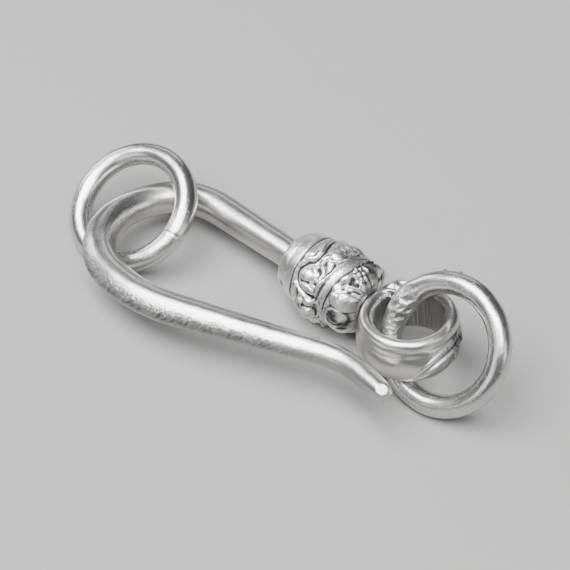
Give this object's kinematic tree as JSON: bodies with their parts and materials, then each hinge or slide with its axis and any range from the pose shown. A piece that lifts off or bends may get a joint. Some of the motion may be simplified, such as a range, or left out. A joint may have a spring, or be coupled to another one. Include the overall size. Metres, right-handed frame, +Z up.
{
  "type": "hook and eye clasp",
  "caption": "Forged silver wire hook with a cast ornamental bead and a rolled end loop, a jump ring caught on its bend as the eye and another through the loop.",
  "frame": {"origin": "on the surface that the clasp lies on, under the middle of its box", "axes": "+X along the bead's axis and the hook's rear arm towards the rolled loop, +Y across the hook from its front arm to its rear arm, +Z up"},
  "size_m": [0.0283, 0.0122, 0.0066],
  "materials": {
    "forged_silver": "sterling silver, satin with forging marks and soft polish",
    "cast_silver": "cast silver, polished high spots and lightly darkened hollows",
    "ring_silver": "drawn sterling silver wire, satin polish with a soldered joint"
  },
  "bodies": {
    "root": {"hook": "forged_silver", "bead": "cast_silver", "eye_ring": "ring_silver", "link_ring": "ring_silver"}
  },
  "joints": []
}
